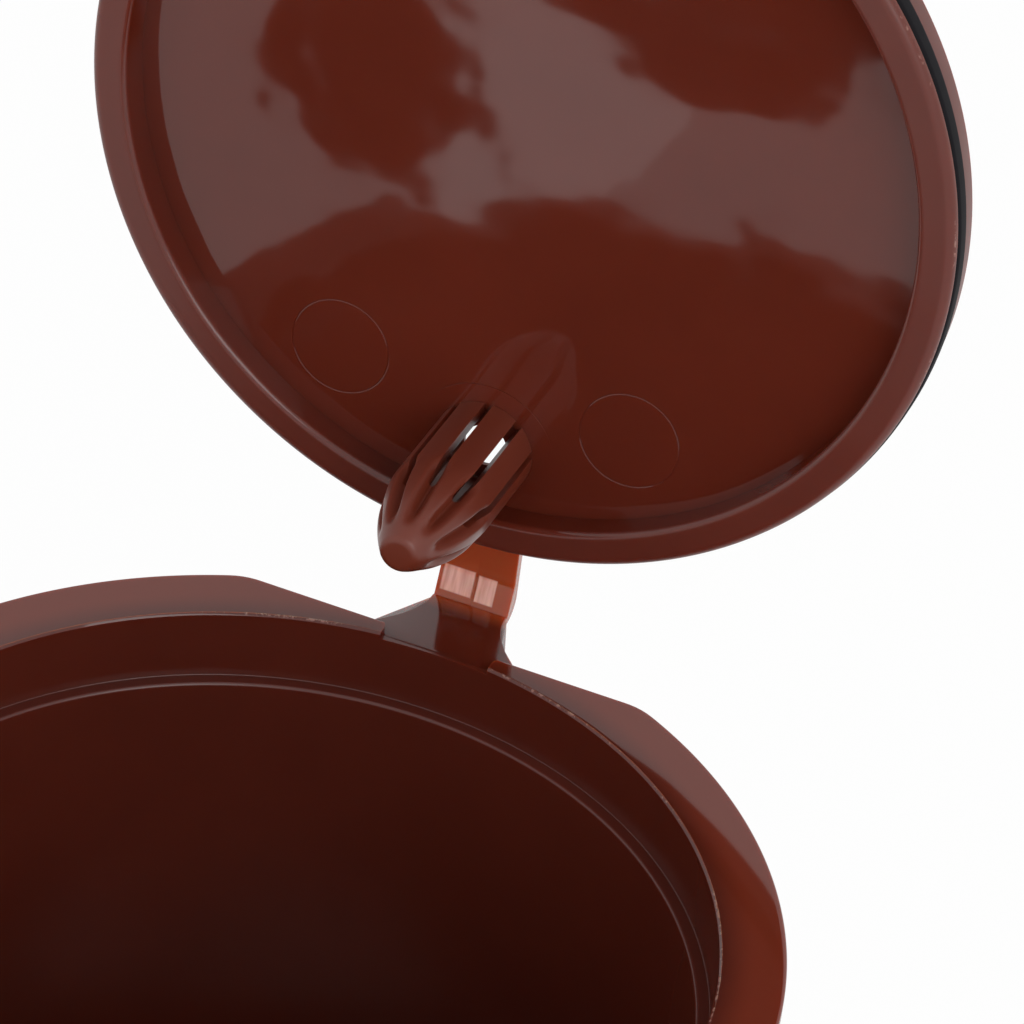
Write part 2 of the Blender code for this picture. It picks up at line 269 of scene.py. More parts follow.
def buildCup():
    s = cupSizes
    ledgeTop = flangeTop - s["recessDepth"]
    flangeLow = flangeTop - s["flangeThickness"]
    ledgeLow = ledgeTop - s["wallThickness"]
    outerTop = s["ledgeRadius"] + s["wallThickness"]
    outerLow = s["floorRadius"] + s["wallThickness"]
    chamfer = s["mouthChamfer"]
    footInner = s["footRadius"] - s["footWidth"]
    collarOuter = s["collarInner"] + s["collarWall"]
    edge = s["flangeEdge"]
    border = s["flangeRadius"] - edge - s["flangeBorder"]
    cup = turnPiece("capsuleCup", [
        (0, 0, 0),                          # hub and foot, then up the outside
        (s["hubRadius"], 0, s["hubEdge"]),
        (s["hubRadius"], s["footHeight"], s["hubEdge"]),
        (footInner, s["footHeight"], s["footEdge"]),
        (footInner, 0, s["footEdge"]), (s["footRadius"], 0, s["footEdge"]),
        (s["footRadius"], s["footHeight"], s["footCorner"]),
        (outerLow, s["footHeight"], s["outerFillet"]),
        (outerTop, ledgeLow, s["shoulderEdge"]),
        (s["recessOuter"], ledgeLow + s["shoulderRise"], s["shoulderFillet"]),
        (s["recessOuter"], flangeLow, 0), (border, flangeLow, 0),
        (s["flangeRadius"], flangeLow, edge), (s["flangeRadius"], flangeTop, edge),
        (border, flangeTop, 0),             # over the flange and down the inside
        (s["mouthRadius"] + chamfer + s["mouthBorder"], flangeTop, 0),
        (s["mouthRadius"] + chamfer, flangeTop, s["mouthEdge"]),
        (s["mouthRadius"], flangeTop - chamfer, s["mouthEdge"]),
        (s["mouthRadius"], ledgeTop, s["recessFillet"]),
        (s["ledgeRadius"], ledgeTop, s["ledgeEdge"]),
        (s["floorRadius"], s["floorTop"], s["floorFillet"]),
        (collarOuter, s["floorTop"], s["collarEdge"]),
        (collarOuter, s["collarTop"], s["collarEdge"]),
        (s["collarInner"], s["collarTop"], s["collarInnerEdge"]),
        (s["collarInner"], s["floorTop"], s["collarFillet"]),
        (0, s["floorTop"], 0)], s["steps"])
    shapeFlange(cup)

    spread = math.tau / s["spokes"]     # one outlet opening, between two spokes, then its copies
    opening = []
    for radius in (s["hubRadius"], s["outletRadius"]):
        margin = math.asin(s["spokeWidth"] / 2 / radius)
        arc = arcPoints(radius, margin, spread - 2 * margin, s["outletSteps"])
        opening += reversed(arc) if opening else arc
    cutter = raiseOutline("outletOpening", opening, -s["cutterReach"],
                          s["floorTop"] + s["cutterReach"])
    for i in range(1, s["spokes"]):
        cutAway(cup, turnedCopy(cutter, i * spread))
    cutAway(cup, cutter)

    half, flare, flat = s["notchHalf"], s["notchFlare"], s["flatDistance"]
    side = [Vector((half, s["notchStart"]))]        # notch that the strap lies in
    for i in range(7):
        turn = math.radians(15 * i)                 # its mouth is rounded by a quarter turn
        side.append(Vector((half + flare * (1 - math.cos(turn)),
                            flat - flare + flare * math.sin(turn))))
    side.append(Vector((half + flare, flat + 2 * s["cutterReach"])))
    outline = side + [Vector((-p.x, p.y)) for p in reversed(side)]
    cutAway(cup, raiseOutline("strapNotch", outline, flangeTop - s["notchDepth"],
                              flangeTop + s["cutterReach"]))
    cleanMesh(cup)
    smoothMesh(cup)
    return cup


capsuleCup = buildCup()
print("cup modelled:", triangleCount(capsuleCup), "triangles")


# lid, drawn shut with its rim plane at height 0, then tipped back on the hinge

lidSizes = {
    "steps": 420,
    "rimPlaneShut": 3.9,                        # below the flange's top when shut
    "thickness": 3.2, "plateRadius": 23.35, "plateEdge": 0.15, "plateBorder": 0.2,
    "lip": 0.55, "lipEdge": 0.03, "grooveWidth": 1.3, "grooveRadius": 22.2, "grooveEdge": 0.1,
    "rimRadius": 23.45, "rimEdge": 0.5,         # the edge stays smaller than the lip
    "rimBorder": 0.15, "rimInner": 21.5, "rimInnerEdge": 0.35, "rimInnerBorder": 0.1,
    "discDepth": 1.9, "discBorder": 0.25,
    "discSlope": 0.024, "discLevelAt": 9.95,    # the disc lies deeper towards the free side
    "discBulge": 0.33, "discRings": 10,         # and bulges a little in its middle
    "discFaceBand": (1.0, 2.6),                 # only the disc's inner face has these heights
    "holeRadius": 2.4, "holeSteps": 64, "holeCut": 8,
    "ejectorRadius": 2.75, "ejectorGroove": 0.06, "ejectorSteps": 96,
    "ejectorPlaces": [(7.8, 15.1), (-8.6, 15.0)],
    "insertRadius": 4.0, "insertCentre": 18.5,  # faint line round the nozzle's foot
    "insertFrom": 198, "insertSweep": 144, "insertSteps": 40,
    "insertWidth": 0.12, "insertDepth": 0.05, "insertLevelAt": 15.5, "insertReach": 0.8,
}

lidPlace = (Matrix.Translation(hingePoint) @ Matrix.Rotation(-openAngle, 4, "X")
            @ Matrix.Translation(-hingePoint)
            @ Matrix.Translation((0, 0, (flangeTop - lidSizes["rimPlaneShut"]) * mm)))

nozzleSizes = {
    "steps": 216, "fromCentre": 18.28, "foot": 1.7, "radius": 2.75, "length": 11.55,
    "tipLength": 5.6, "tipRadius": 0.95, "tipRounding": 0.5, "tipCurve": 1.9,
    "rows": 60, "lastRow": 0.6,                 # rows of points, the last this far from the tip
    "boreRadius": 2.1, "boreTip": 1.5, "boreNarrows": 5.5, "boreEnd": 9.0,
    "boreEdge": 0.1, "boreBend": 0.4,
    "slots": 9, "slotWidth": 0.46, "slotEnd": 7.6,
    "fluteDepth": 0.65, "fluteWidth": 1.15, "fluteSkin": 0.03,
    "fluteStart": 5.6, "fluteFull": 7.2, "fluteFade": 8.9, "fluteEnd": 10.9,
    "inletRadius": 1.2, "inletMouth": 2.12, "inletEdge": 0.05,
    "webLow": 0.15, "webHigh": 0.4, "webEdge": 0.03,
    "play": 0.02,                               # between the nozzle and the lid's hole
    "bladeReach": 1.0, "bladeOver": 0.1,        # the slot cutter reaches out and over by these
}


def buildLid():
    s = lidSizes
    flatStart = s["rimInner"] - s["discBorder"]

    def discLevel(away):
        # height of the disc's inner face at this distance from the lid's middle
        return s["discDepth"] - s["discBulge"] * (1 - (away / flatStart) ** 2)

    disc = []
    for i in range(s["discRings"] + 1):
        away = flatStart * (1 - i / s["discRings"])
        disc.append((away, discLevel(away), 0))
    grooveTop = s["lip"] + s["grooveWidth"]
    lid = turnPiece("hingedLid", [
        (0, s["thickness"], 0),
        (s["plateRadius"] - s["plateEdge"] - s["plateBorder"], s["thickness"], 0),
        (s["plateRadius"], s["thickness"], s["plateEdge"]),
        (s["plateRadius"], grooveTop, s["grooveEdge"]),
        (s["grooveRadius"], grooveTop, s["grooveEdge"]),
        (s["grooveRadius"], s["lip"], s["grooveEdge"]),
        (s["rimRadius"], s["lip"], s["lipEdge"]), (s["rimRadius"], 0, s["rimEdge"]),
        (s["rimRadius"] - s["rimEdge"] - s["rimBorder"], 0, 0),
        (s["rimInner"] + s["rimInnerEdge"] + s["rimInnerBorder"], 0, 0),
        (s["rimInner"], 0, s["rimInnerEdge"]),
        (s["rimInner"], s["discDepth"], 0)] + disc, s["steps"])

    slope = 2 * s["discBulge"] / flatStart ** 2
    for x, y in s["ejectorPlaces"]:     # fine rings left by the mould's ejector pins
        startFresh()
        bpy.ops.mesh.primitive_torus_add(
            major_segments=s["ejectorSteps"], minor_segments=8,
            major_radius=s["ejectorRadius"] * mm, minor_radius=s["ejectorGroove"] * mm,
            location=Vector((x, y, discLevel(math.hypot(x, y)))) * mm,
            rotation=(math.atan(slope * y), -math.atan(slope * x), 0))
        cutAway(lid, bpy.context.object)

    inner, outer = [
        arcPoints(radius, math.radians(s["insertFrom"]), math.radians(s["insertSweep"]),
                  s["insertSteps"], s["insertCentre"])
        for radius in (s["insertRadius"], s["insertRadius"] + s["insertWidth"])]
    cutAway(lid, raiseOutline("insertLine", inner + outer[::-1], s["discDepth"] - s["insertReach"],
                              discLevel(s["insertLevelAt"]) + s["insertDepth"]))

    startFresh()
    bpy.ops.mesh.primitive_cylinder_add(
        vertices=s["holeSteps"], radius=s["holeRadius"] * mm, depth=s["holeCut"] * mm,
        location=(0, nozzleSizes["fromCentre"] * mm, s["discDepth"] * mm))
    cutAway(lid, bpy.context.object)

    low, high = s["discFaceBand"]
    for vertex in lid.data.vertices:    # the disc's inner face and its corner lean a little
        inside = math.hypot(vertex.co.x, vertex.co.y) < (s["rimInner"] + 0.02) * mm
        if inside and low * mm < vertex.co.z < high * mm:
            vertex.co.z += s["discSlope"] * (s["discLevelAt"] * mm - vertex.co.y)
    cleanMesh(lid)
    smoothMesh(lid)
    moveMesh(lid, lidPlace)
    return lid


hingedLid = buildLid()
print("lid modelled:", triangleCount(hingedLid), "triangles")


# seal ring in the lid's groove

sealSizes = {"steps": 300, "inner": 22.25, "outer": 23.53, "low": 0.58, "high": 1.82,
             "innerEdge": 0.15, "outerEdge": 0.3}


def buildSeal():
    s = sealSizes
    seal = turnPiece("lidSealRing", [
        (s["inner"], s["low"], s["innerEdge"]), (s["outer"], s["low"], s["outerEdge"]),
        (s["outer"], s["high"], s["outerEdge"]), (s["inner"], s["high"], s["innerEdge"])],
        s["steps"], closed=True)
    smoothMesh(seal, 60)
    moveMesh(seal, lidPlace)
    return seal


lidSealRing = buildSeal()
print("seal modelled:", triangleCount(lidSealRing), "triangles")


# inlet nozzle: a slotted barrel with a fluted, blunt tip

def nozzleRadius(along):
    # outside radius at a distance from the lid's disc
    s = nozzleSizes
    share = max(0, 1 - (s["length"] - along) / s["tipLength"])
    return s["tipRadius"] + (s["radius"] - s["tipRadius"]) * (1 - share ** s["tipCurve"])


def ease(start, end, value):
    share = min(1, max(0, (value - start) / (end - start)))
    return share * share * (3 - 2 * share)


def buildNozzle():
    s = nozzleSizes
    foot, length = s["foot"], s["length"]
    hole, top = lidSizes["holeRadius"] - s["play"], lidSizes["thickness"] - s["play"]
    webLow, webHigh = foot + s["webLow"], foot + s["webHigh"]
    corners = [(0, foot - length, 0), (s["tipRadius"], foot - length, s["tipRounding"])]
    for i in range(s["rows"]):          # the fluted end and the barrel, from the tip up
        along = (length - s["lastRow"]) * (1 - i / (s["rows"] - 1))
        corners.append((nozzleRadius(along), foot - along, 0))
    corners += [                        # then the needle's inlet, a thin web and the bore
        (hole, foot, 0), (hole, top, s["inletEdge"]), (s["inletMouth"], top, s["inletEdge"]),
        (s["inletRadius"], webHigh, s["webEdge"]), (s["inletRadius"], webLow, s["webEdge"]),
        (s["boreRadius"], webLow, s["boreEdge"]),
        (s["boreRadius"], foot - s["boreNarrows"], s["boreBend"]),
        (s["boreTip"], foot - s["slotEnd"], s["boreBend"]), (0, foot - s["boreEnd"], 0)]
    nozzle = turnPiece("inletNozzle", corners, s["steps"])

    gap = math.tau / s["slots"]
    firstSlot = -math.pi / 2            # faces away from the hinge
    for vertex in nozzle.data.vertices:     # hollow flutes carry the slots on over the tip
        radius = math.hypot(vertex.co.x, vertex.co.y) / mm
        along = foot - vertex.co.z / mm
        if along < s["fluteStart"] or radius < nozzleRadius(along) - s["fluteSkin"]:
            continue
        aside = (math.atan2(vertex.co.y, vertex.co.x) - firstSlot + gap / 2) % gap - gap / 2
        across = min(1, abs(aside) * radius / (s["fluteWidth"] / 2))
        depth = (s["fluteDepth"] * 0.5 * (1 + math.cos(math.pi * across))
                 * ease(s["fluteStart"], s["fluteFull"], along)
                 * (1 - ease(s["fluteFade"], s["fluteEnd"], along)))
        vertex.co.x *= (radius - depth) / radius
        vertex.co.y *= (radius - depth) / radius

    startFresh()
    bpy.ops.mesh.primitive_cube_add(size=mm)        # a blade from the axis outwards cuts one slot
    blade = bpy.context.object
    reach, tall = s["radius"] + s["bladeReach"], s["slotEnd"] + s["bladeOver"]
    middle = Vector((0, -reach / 2, foot + s["bladeOver"] - tall / 2)) * mm
    moveMesh(blade, Matrix.Translation(middle) @ Matrix.Diagonal((s["slotWidth"], reach, tall, 1)))
    for i in range(1, s["slots"]):
        cutAway(nozzle, turnedCopy(blade, i * gap))
    cutAway(nozzle, blade)
    cleanMesh(nozzle)
    smoothMesh(nozzle, 38)
    moveMesh(nozzle, lidPlace @ Matrix.Translation((0, s["fromCentre"] * mm, 0)))
    return nozzle


inletNozzle = buildNozzle()
print("nozzle modelled:", triangleCount(inletNozzle), "triangles")


# living hinge: one strap from the flange's notch round the crease to the lid's outer face

strapSizes = {
    "root": 23.72, "thickness": 0.6, "below": 0.395, "bend": 0.75, "edge": 0.1,
    "crease": 28.5, "creaseDepth": 0.12, "creaseWidth": 0.16, "creaseRise": 0.04,
    "facetTop": 1.3, "halfWidth": 2.15, "flare": 2.3, "flareEnd": 28.4,
    "leafLength": 8.3, "leafFrom": 2.0,         # above this height over the flange no flare
    "lugLength": 2.4, "lugDepth": 0.55,
    "midGroove": 0.05,                          # a fine groove halves the facet
    "stops": [-1, -0.035, -0.012, 0.012, 0.035, 1],     # across, in shares of the half width
    "tabSteps": 14, "facetSteps": 6, "leafSteps": 8, "bendSteps": 24,
}


def evenPoints(first, last, count):
    # points after the first one, up to the last
    return [first.lerp(last, (i + 1) / count) for i in range(count)]


def buildStrap():
    s = strapSizes
    top = flangeTop - s["below"]
    low = top - s["thickness"]
    centre = Vector((hingePoint.y / mm - s["bend"], top + s["bend"]))
    lean = openAngle - math.pi / 2              # the lid leans back a little past upright
    leafWay = Vector((math.sin(lean), math.cos(lean)))
    leafBack = Vector((leafWay.y, -leafWay.x))
    leafFoot = centre + leafBack * s["bend"]
    leafEnd = leafFoot + leafWay * (s["leafLength"] - s["bend"])
    lugStart = leafEnd - leafWay * s["lugLength"]
    root, crease, halfCrease = s["root"], s["crease"], s["creaseWidth"] / 2
    facetLow = Vector((crease + halfCrease, top + s["creaseRise"]))
    facetHigh = leafFoot + leafWay * (flangeTop + s["facetTop"] - leafFoot.y) / leafWay.y

    tab = s["tabSteps"]
    front = [Vector((root + (crease - halfCrease - root) * i / tab, top)) for i in range(tab + 1)]
    front += [Vector((crease, top - s["creaseDepth"])), facetLow]
    front += evenPoints(facetLow, facetHigh, s["facetSteps"])   # a slanting facet above the crease
    front += evenPoints(facetHigh, lugStart, s["leafSteps"])
    front += [lugStart - leafBack * s["lugDepth"], leafEnd - leafBack * s["lugDepth"]]

    leafTop, bendStart = [end + leafBack * s["thickness"] for end in (leafEnd, leafFoot)]
    back = [leafTop] + evenPoints(leafTop, bendStart, s["facetSteps"])[:-1]
    for i in range(s["bendSteps"] + 1):             # round the outside of the bend
        turn = -lean - (math.pi / 2 - lean) * i / s["bendSteps"]
        way = Vector((math.cos(turn), math.sin(turn)))
        back.append(centre + way * (s["bend"] + s["thickness"]))
    back += [Vector((centre.x + (root - centre.x) * (i + 1) / tab, low)) for i in range(tab)]

    strap = drawLine("hingeStrap", [Vector((0, p.x, p.y)) for p in front + back])
    fillOutline()
    bpy.ops.transform.translate(value=(-mm, 0, 0))
    for i in range(1, len(s["stops"])):
        step = s["stops"][i] - s["stops"][i - 1]
        bpy.ops.mesh.extrude_region_move(TRANSFORM_OT_translate={"value": (step * mm, 0, 0)})
    bpy.ops.object.mode_set(mode="OBJECT")
    cleanMesh(strap)
    for vertex in strap.data.vertices:
        y, z = vertex.co.y / mm, vertex.co.z / mm
        share = min(1, max(0, (s["flareEnd"] - y) / (s["flareEnd"] - cupSizes["flatDistance"])))
        if z > flangeTop + s["leafFrom"]:
            share = 0
        up = (z - facetLow.y) / (facetHigh.y - facetLow.y)
        onFacet = 0 < up < 1 and abs(y - facetLow.lerp(facetHigh, up).x) < 0.02
        if onFacet and abs(vertex.co.x) < 0.02 * mm:
            vertex.co.y += s["midGroove"] * mm
        vertex.co.x *= s["halfWidth"] + s["flare"] * share ** 2
    applyModifier(strap, "BEVEL", width=s["edge"] * mm, segments=3, limit_method="ANGLE",
                  angle_limit=math.radians(50), harden_normals=False)
    cleanMesh(strap)
    smoothMesh(strap, 40)
    return strap


hingeStrap = buildStrap()
print("strap modelled:", triangleCount(hingeStrap), "triangles")


# filter on the cup's floor: woven wire cloth and the ring that holds it

filterSizes = {
    "radius": 11.3, "pitch": 0.56, "wire": 0.085,
    "weave": 0.9,                               # how far a wire goes up and down, in wire radii
    "ringInner": 9.6, "ringOuter": 11.5, "ringSteps": 160,
    "ringEdges": (0.15, 0.1, 0.25, 0.3),
}


def deleteChosen(cloth, mode, kind, things, chosen):
    # deletes those vertices or edges that the test picks out
    bpy.ops.object.mode_set(mode="EDIT")
    bpy.ops.mesh.select_mode(type=mode)
    bpy.ops.mesh.select_all(action="DESELECT")
    bpy.ops.object.mode_set(mode="OBJECT")
    for thing in getattr(cloth.data, things):
        thing.select = chosen(thing)
    bpy.ops.object.mode_set(mode="EDIT")
    bpy.ops.mesh.delete(type=kind)
    bpy.ops.object.mode_set(mode="OBJECT")


def weaveWires(along):
    # the wires that run one way, going over and under those that run the other way
    s = filterSizes
    count = 2 * int(s["radius"] / s["pitch"]) + 2
    step = s["pitch"] * mm
    start = -count * step / 2
    startFresh()
    bpy.ops.mesh.primitive_grid_add(x_subdivisions=count, y_subdivisions=count,
                                    size=count * s["pitch"] * mm)
    cloth = bpy.context.object
    for vertex in cloth.data.vertices:
        cell = round((vertex.co.x - start) / step) + round((vertex.co.y - start) / step)
        vertex.co.z = (s["weave"] * s["wire"] * mm) * (1 if (cell + along) % 2 else -1)

    def crosses(edge):
        a, b = [cloth.data.vertices[i].co for i in edge.vertices]
        return abs(a[along] - b[along]) < step / 2

    def outside(vertex):
        return math.hypot(vertex.co.x, vertex.co.y) > s["radius"] * mm

    deleteChosen(cloth, "EDGE", "EDGE_FACE", "edges", crosses)
    deleteChosen(cloth, "VERT", "VERT", "vertices", outside)
    bpy.ops.object.convert(target="CURVE")
    wires = bpy.context.object
    wires.data.bevel_depth = s["wire"] * mm
    wires.data.bevel_resolution = 1
    wires.data.use_fill_caps = True
    bpy.ops.object.convert(target="MESH")
    return bpy.context.object


def buildFilter():
    s = filterSizes
    low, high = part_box("filter_mesh")
    middle = (low.z + high.z) / 2
    sets = [weaveWires(0), weaveWires(1)]
    startFresh()
    for wires in sets:
        wires.select_set(True)
    bpy.context.view_layer.objects.active = sets[0]
    bpy.ops.object.join()
    cloth = bpy.context.object
    cloth.name = cloth.data.name = "filterMesh"
    cleanMesh(cloth)                    # closes the wires' ends
    moveMesh(cloth, Matrix.Translation((0, 0, middle)))
    smoothMesh(cloth, 60)

    low, high = [corner.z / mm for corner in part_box("filter_ring")]
    places = [(s["ringInner"], low), (s["ringOuter"], low),
              (s["ringOuter"], high), (s["ringInner"], high)]
    ring = turnPiece("filterRing", [(*place, edge) for place, edge in zip(places, s["ringEdges"])],
                     s["ringSteps"], closed=True)
    smoothMesh(ring)
    return cloth, ring


filterMesh, filterRing = buildFilter()
print("filter modelled:", triangleCount(filterMesh), "triangles")


# materials

def addNode(tree, kind, inputs=None, **settings):
    node = tree.nodes.new(kind)
    for key, value in settings.items():
        setattr(node, key, value)
    for key, value in (inputs or {}).items():
        if isinstance(value, bpy.types.NodeSocket):
            tree.links.new(value, node.inputs[key])
        else:
            node.inputs[key].default_value = value
    return node


def newMaterial(name):
    material = bpy.data.materials.new(name)
    material.use_nodes = True
    tree = material.node_tree
    tree.nodes.clear()
    return material, tree


def perSize(size):
    return 1 / (size * mm)      # noise scale for a feature of that many millimetres


def fromAxis(tree, apart):
    # distance from the upright axis, of a place whose parts are apart
    level = addNode(tree, "ShaderNodeCombineXYZ", {
        "X": apart.outputs["X"], "Y": apart.outputs["Y"]})
    return addNode(tree, "ShaderNodeVectorMath", {0: level.outputs[0]},
                   operation="LENGTH").outputs["Value"]


def rubbedEdgeAndGlint(tree, place, radius, height, width, amount):
    # mask of a broken line along a round edge, where the mould's fine flash was rubbed off; its
    # paleness is also a painted highlight along the edge
    apart = addNode(tree, "ShaderNodeSeparateXYZ", {"Vector": place})
    spot = addNode(tree, "ShaderNodeCombineXYZ", {
        "X": fromAxis(tree, apart), "Z": apart.outputs["Z"]})
    away = addNode(tree, "ShaderNodeVectorMath", {
        0: spot.outputs[0], 1: (radius * mm, 0, height * mm)}, operation="DISTANCE")
    near = addNode(tree, "ShaderNodeMapRange", {
        "Value": away.outputs["Value"], "From Min": width * mm, "From Max": 0.4 * width * mm})
    specks = addNode(tree, "ShaderNodeTexNoise", {
        "Vector": place, "Scale": perSize(0.35), "Detail": 3.0, "Roughness": 0.6})
    patches = addNode(tree, "ShaderNodeTexNoise", {
        "Vector": place, "Scale": perSize(7), "Detail": 1.0})
    both = addNode(tree, "ShaderNodeMath", {
        0: specks.outputs["Fac"], 1: patches.outputs["Fac"]}, operation="ADD")
    rough = addNode(tree, "ShaderNodeMapRange", {
        "Value": both.outputs[0], "From Min": 1.1 - amount, "From Max": 1.25 - amount})
    return addNode(tree, "ShaderNodeMath", {
        0: near.outputs["Result"], 1: rough.outputs["Result"]}, operation="MULTIPLY").outputs[0]


def insideBox(tree, place, low, high):
    # mask of a box, 1 inside and 0 outside, with slightly soft sides
    middle = (Vector(low) + Vector(high)) / 2 * mm
    half = (Vector(high) - Vector(low)) / 2 * mm
    off = addNode(tree, "ShaderNodeVectorMath", {0: place, 1: middle}, operation="SUBTRACT")
    size = addNode(tree, "ShaderNodeVectorMath", {0: off.outputs[0]}, operation="ABSOLUTE")
    ratio = addNode(tree, "ShaderNodeVectorMath", {0: size.outputs[0], 1: half},
                    operation="DIVIDE")
    sides = addNode(tree, "ShaderNodeSeparateXYZ", {"Vector": ratio.outputs[0]})
    most = addNode(tree, "ShaderNodeMath", {
        0: sides.outputs["X"], 1: sides.outputs["Y"]}, operation="MAXIMUM")
    most = addNode(tree, "ShaderNodeMath", {
        0: most.outputs[0], 1: sides.outputs["Z"]}, operation="MAXIMUM")
    return addNode(tree, "ShaderNodeMapRange", {
        "Value": most.outputs[0], "From Min": 1.0, "From Max": 0.9}).outputs["Result"]


def mouldedPolypropylene(name, light, dark, roughness, waves, glow, paintedGlow=None, wearAndGlint=None,
                         satin=None, paintedHighlights=None):
    # polypropylene from a polished mould: translucent, a clear soft gloss, faint flow marks
    material, tree = newMaterial(name)
    place = addNode(tree, "ShaderNodeTexCoord").outputs["Object"]
    flow = addNode(tree, "ShaderNodeTexNoise", {
        "Vector": place, "Scale": perSize(9), "Detail": 3.0, "Roughness": 0.55})
    tone = addNode(tree, "ShaderNodeMix", {
        "Factor": flow.outputs["Fac"], "A": hexColour(dark), "B": hexColour(light)},
        data_type="RGBA")
    gloss = addNode(tree, "ShaderNodeMapRange", {
        "Value": flow.outputs["Fac"], "From Min": 0.3, "From Max": 0.7,
        "To Min": roughness * 0.8, "To Max": roughness * 1.2})
    apart = addNode(tree, "ShaderNodeSeparateXYZ", {"Vector": place})
    if paintedGlow:            # painted glow: where the wall thins, the colour is made warmer, standing for light that comes through
        # measured from the cup's axis, or else along the strap
        measure = fromAxis(tree, apart) if paintedGlow["round"] else apart.outputs["Y"]
        share = addNode(tree, "ShaderNodeMapRange", {
            "Value": measure, "From Min": paintedGlow["start"] * mm, "From Max": paintedGlow["end"] * mm},
            interpolation_type="SMOOTHSTEP")
        tone = addNode(tree, "ShaderNodeMix", {
            "Factor": share.outputs["Result"], "A": tone.outputs["Result"],
            "B": hexColour(paintedGlow["colour"])}, data_type="RGBA")
    if satin:           # part of the mould was left duller
        measure = apart.outputs["Z"]
        if "place" in satin:        # measured from the lid's axis, and not upwards
            spot = addNode(tree, "ShaderNodeMapping", {
                "Vector": place, "Location": satin["place"].translation,
                "Rotation": satin["place"].to_euler(), "Scale": (1, 1, 1e6)},
                vector_type="TEXTURE")
            measure = addNode(tree, "ShaderNodeVectorMath", {0: spot.outputs["Vector"]},
                              operation="LENGTH").outputs["Value"]
        gloss = addNode(tree, "ShaderNodeMapRange", {
            "Value": measure, "From Min": satin["polished"] * mm, "From Max": satin["dull"] * mm,
            "To Min": gloss.outputs["Result"], "To Max": satin["roughness"]})
    if paintedHighlights:        # painted highlight: these boxes are made pale, standing for the white mirrored by the facet above the crease
        grain = addNode(tree, "ShaderNodeMapping", {"Vector": place, "Scale": (1, 0.1, 0.1)})
        streaks = addNode(tree, "ShaderNodeTexNoise", {
            "Vector": grain.outputs["Vector"], "Scale": perSize(0.25), "Detail": 2.0})
        pale = addNode(tree, "ShaderNodeMapRange", {
            "Value": streaks.outputs["Fac"], "From Min": 0.3, "From Max": 0.7,
            "To Min": 0.5, "To Max": 0.95})
        for low, high in paintedHighlights["boxes"]:
            share = addNode(tree, "ShaderNodeMath", {
                0: insideBox(tree, place, low, high), 1: pale.outputs["Result"]},
                operation="MULTIPLY")
            tone = addNode(tree, "ShaderNodeMix", {
                "Factor": share.outputs[0], "A": tone.outputs["Result"],
                "B": hexColour(paintedHighlights["colour"])}, data_type="RGBA")
    if wearAndGlint:            # a rubbed edge is paler and rougher; the paleness is also a painted highlight along the edge
        spot = addNode(tree, "ShaderNodeMapping", {
            "Vector": place, "Location": wearAndGlint["place"].translation,
            "Rotation": wearAndGlint["place"].to_euler()}, vector_type="TEXTURE").outputs["Vector"]
        rubbedAndGlint = rubbedEdgeAndGlint(tree, spot, wearAndGlint["radius"], wearAndGlint["height"], wearAndGlint["width"],
                            wearAndGlint["amount"])
        tone = addNode(tree, "ShaderNodeMix", {
            "Factor": rubbedAndGlint, "A": tone.outputs["Result"], "B": hexColour(wearAndGlint["colour"])},
            data_type="RGBA")
        gloss = addNode(tree, "ShaderNodeMapRange", {
            "Value": rubbedAndGlint, "To Min": gloss.outputs["Result"], "To Max": 0.6})
    swell = addNode(tree, "ShaderNodeTexNoise", {
        "Vector": place, "Scale": perSize(9), "Detail": 2.0, "Roughness": 0.35})
    wavy = addNode(tree, "ShaderNodeBump", {
        "Height": swell.outputs["Fac"], "Strength": 1.0, "Distance": waves * mm})
    shader = addNode(tree, "ShaderNodeBsdfPrincipled", {
        "Base Color": tone.outputs["Result"], "Roughness": gloss.outputs["Result"], "IOR": 1.49,
        "Subsurface Weight": glow, "Subsurface Radius": (1.0, 0.28, 0.12),
        "Subsurface Scale": 1.6 * mm, "Normal": wavy.outputs["Normal"]})
    addNode(tree, "ShaderNodeOutputMaterial", {"Surface": shader.outputs["BSDF"]})
    return material


def siliconeRubber(name):
    # moulded black silicone: soft, matt, with a dusty bloom
    material, tree = newMaterial(name)
    place = addNode(tree, "ShaderNodeTexCoord").outputs["Object"]
    dust = addNode(tree, "ShaderNodeTexNoise", {
        "Vector": place, "Scale": perSize(0.8), "Detail": 4.0, "Roughness": 0.6})
    tone = addNode(tree, "ShaderNodeMix", {
        "Factor": dust.outputs["Fac"], "A": hexColour("0E0D10"), "B": hexColour("1B191D")},
        data_type="RGBA")
    skin = addNode(tree, "ShaderNodeBump", {
        "Height": dust.outputs["Fac"], "Strength": 1.0, "Distance": 0.01 * mm})
    shader = addNode(tree, "ShaderNodeBsdfPrincipled", {
        "Base Color": tone.outputs["Result"], "Roughness": 0.7, "IOR": 1.41,
        "Specular IOR Level": 0.15, "Normal": skin.outputs["Normal"]})
    addNode(tree, "ShaderNodeOutputMaterial", {"Surface": shader.outputs["BSDF"]})
    return material


def drawnSteelWire(name):
    # stainless wire, drawn smooth: bright, with slight dull patches from the weaving
    material, tree = newMaterial(name)
    place = addNode(tree, "ShaderNodeTexCoord").outputs["Object"]
    dull = addNode(tree, "ShaderNodeTexNoise", {
        "Vector": place, "Scale": perSize(1.2), "Detail": 3.0})
    gloss = addNode(tree, "ShaderNodeMapRange", {
        "Value": dull.outputs["Fac"], "To Min": 0.22, "To Max": 0.45})
    shader = addNode(tree, "ShaderNodeBsdfPrincipled", {
        "Base Color": hexColour("C4C2BF"), "Metallic": 1.0, "Roughness": gloss.outputs["Result"]})
    addNode(tree, "ShaderNodeOutputMaterial", {"Surface": shader.outputs["BSDF"]})
    return material


